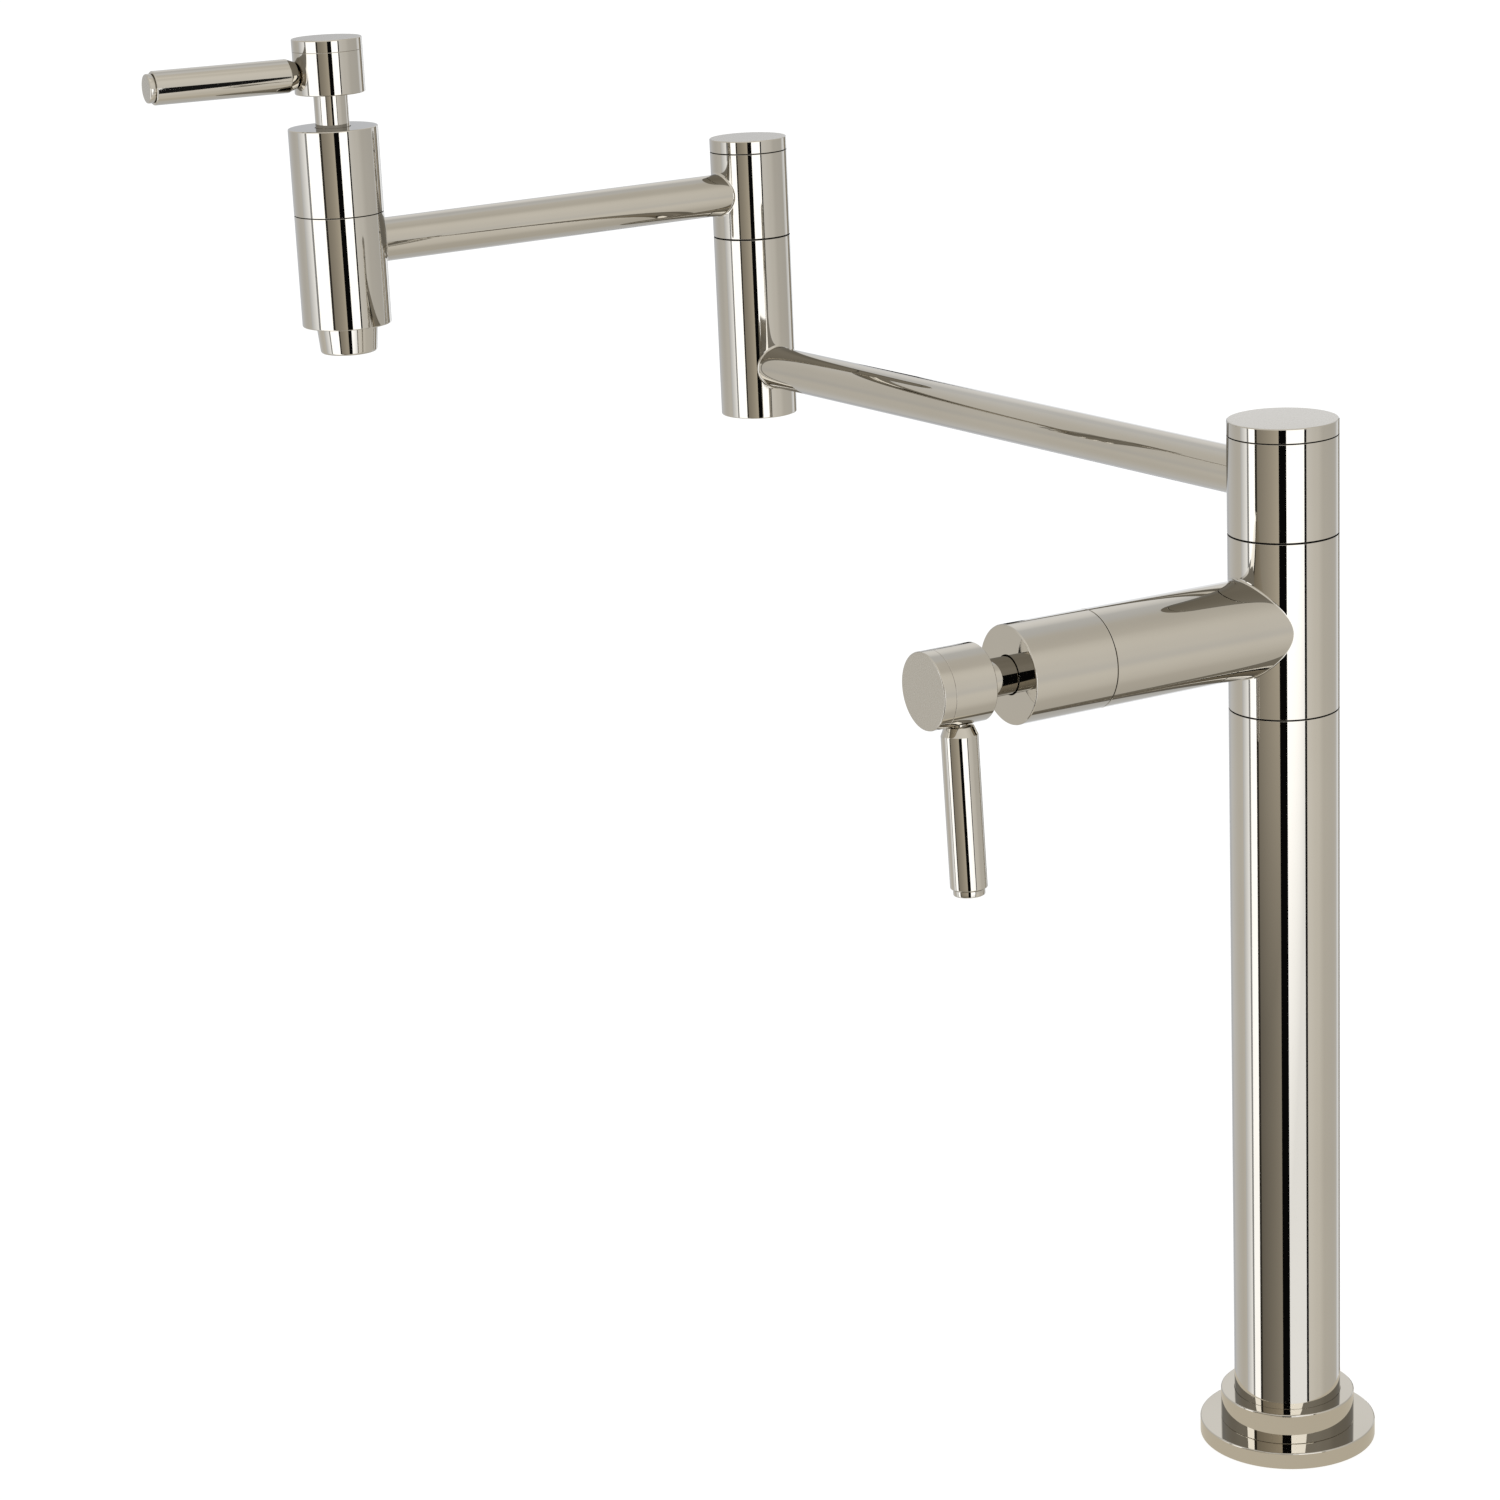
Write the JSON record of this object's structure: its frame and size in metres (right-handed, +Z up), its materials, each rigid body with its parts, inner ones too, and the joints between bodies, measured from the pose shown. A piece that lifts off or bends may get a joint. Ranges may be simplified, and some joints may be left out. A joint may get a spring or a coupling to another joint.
{
  "type": "deck-mounted pot filler",
  "caption": "Deck-mounted pot filler: tall column with a side shut-off valve, jointed swinging arms on hollow swivels, and a spout with its own quarter-turn lever valve.",
  "frame": {"origin": "on the column's axis at the deck, in the plane of the flange's underside", "axes": "+Z up along the column, -Y along the main valve's branch, and the lower arm about along -X at rest"},
  "size_m": [0.3685, 0.308, 0.5815],
  "materials": {
    "polished_nickel": "polished nickel plate on brass, mirror bright and slightly warm",
    "brass": "plain turned brass",
    "rubber": "black rubber",
    "ceramic": "lapped white ceramic",
    "slip_plastic": "white low-friction plastic",
    "steel": "plain stainless steel"
  },
  "bodies": {
    "base": {"base_flange": "polished_nickel", "deck_gasket": "rubber", "base_collar": "polished_nickel", "mounting_shank": "brass", "clamp_seal": "rubber", "clamp_washer": "steel", "clamp_nut": "brass", "column_tube": "polished_nickel", "riser_pipe": "brass", "valve_tee": "polished_nickel", "main_bonnet": "polished_nickel", "main_cartridge": "brass", "main_cartridge_seal": "rubber", "main_fixed_disc": "ceramic", "column_spigot": "brass", "column_seals": "rubber", "column_thrust_washers": "slip_plastic", "column_retaining_nut": "brass"},
    "main_handle": {"main_spindle": "brass", "main_spindle_seals": "rubber", "main_turning_disc": "ceramic", "main_hub": "polished_nickel", "main_hub_cap": "polished_nickel", "main_handle_screw": "steel", "main_lever": "polished_nickel", "main_lever_tip": "polished_nickel"},
    "lower_arm": {"column_head": "polished_nickel", "column_cap": "polished_nickel", "lower_arm_tube": "polished_nickel", "elbow_lower_body": "polished_nickel", "elbow_spigot": "brass", "elbow_seals": "rubber", "elbow_thrust_washers": "slip_plastic", "elbow_retaining_nut": "brass"},
    "upper_arm": {"elbow_head": "polished_nickel", "elbow_cap": "polished_nickel", "upper_arm_tube": "polished_nickel", "spout_body": "polished_nickel", "spout_bonnet": "polished_nickel", "spout_cartridge": "brass", "spout_cartridge_seal": "rubber", "spout_fixed_disc": "ceramic", "aerator_housing": "polished_nickel", "aerator_insert": "slip_plastic", "aerator_washer": "rubber"},
    "spout_handle": {"spout_spindle": "brass", "spout_spindle_seals": "rubber", "spout_turning_disc": "ceramic", "spout_hub": "polished_nickel", "spout_hub_cap": "polished_nickel", "spout_handle_screw": "steel", "spout_lever": "polished_nickel", "spout_lever_tip": "polished_nickel"}
  },
  "joints": [
    {"name": "column_swivel", "type": "hinge", "parent": "base", "child": "lower_arm", "pos_m": [0, 0, 0.3361], "axis": [0, 0, 1], "continuous": true},
    {"name": "elbow_swivel", "type": "hinge", "parent": "lower_arm", "child": "upper_arm", "pos_m": [-0.32158, -0.0208, 0.4061], "axis": [0, 0, 1], "continuous": true},
    {"name": "main_valve_turn", "type": "hinge", "parent": "base", "child": "main_handle", "pos_m": [0, -0.081, 0.3051], "axis": [0, -1, 0], "range_deg": [0, 90]},
    {"name": "spout_valve_turn", "type": "hinge", "parent": "upper_arm", "child": "spout_handle", "pos_m": [-0.31045, -0.20536, 0.4361], "axis": [0, 0, 1], "range_deg": [0, 90]}
  ]
}
